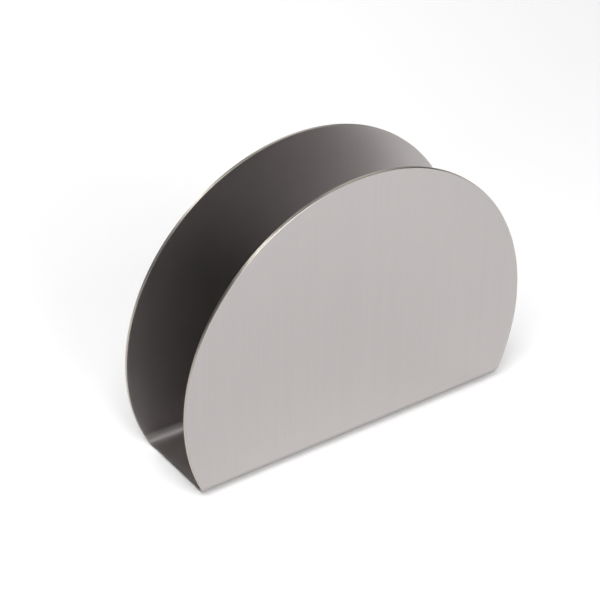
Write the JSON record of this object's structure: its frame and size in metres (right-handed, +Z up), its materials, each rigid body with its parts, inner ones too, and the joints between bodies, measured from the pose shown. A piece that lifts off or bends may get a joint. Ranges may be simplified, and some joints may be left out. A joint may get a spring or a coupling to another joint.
{
  "type": "napkin dispenser",
  "caption": "Half-moon napkin holder folded from one brushed stainless sheet, open at the top and both ends, standing on small anti-slip pads.",
  "frame": {"origin": "on the table, under the middle of the holder", "axes": "+X along the holder, out of its right-hand open end; +Y from the front cheek to the rear cheek; +Z up"},
  "size_m": [0.15, 0.04, 0.1106],
  "materials": {
    "brushed_stainless": "fine brushed grain along the fold direction of the blank, satin",
    "pad_rubber": "matt moulded"
  },
  "bodies": {
    "root": {"folded_body": "brushed_stainless", "pad_front_left": "pad_rubber", "pad_front_right": "pad_rubber", "pad_rear_left": "pad_rubber", "pad_rear_right": "pad_rubber"}
  },
  "joints": []
}
